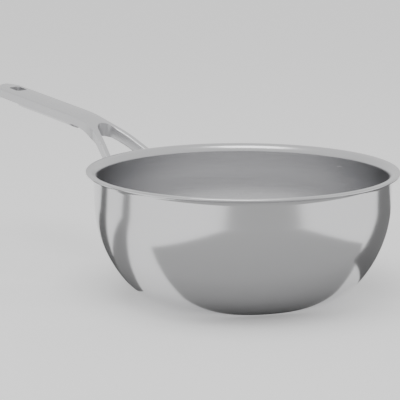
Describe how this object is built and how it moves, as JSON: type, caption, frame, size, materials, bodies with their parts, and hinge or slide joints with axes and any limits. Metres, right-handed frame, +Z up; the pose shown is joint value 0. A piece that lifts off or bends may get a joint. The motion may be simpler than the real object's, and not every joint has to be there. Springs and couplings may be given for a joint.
{
  "type": "saucier pan",
  "caption": "Round-bottomed saucier pan of bonded steel and aluminium sheet, with a flared pouring lip and a welded, forked steel handle",
  "frame": {"origin": "Centre of the base's underside", "axes": "+Z up out of the mouth, the handle points along -X, +Y to the side"},
  "size_m": [0.4372, 0.2582, 0.1492],
  "materials": {
    "polished_steel": "mirror polished stainless steel",
    "core": "plain aluminium, closed in",
    "inner_steel": "finely brushed stainless steel",
    "cast_steel": "satin cast stainless steel",
    "cover_steel": "satin stainless steel sheet",
    "weld_metal": "dressed weld metal"
  },
  "bodies": {
    "root": {"outer_skin": "polished_steel", "aluminium_core": "core", "inner_skin": "inner_steel", "handle_casting": "cast_steel", "handle_cover": "cover_steel", "weld_left": "weld_metal", "weld_right": "weld_metal"}
  },
  "joints": []
}
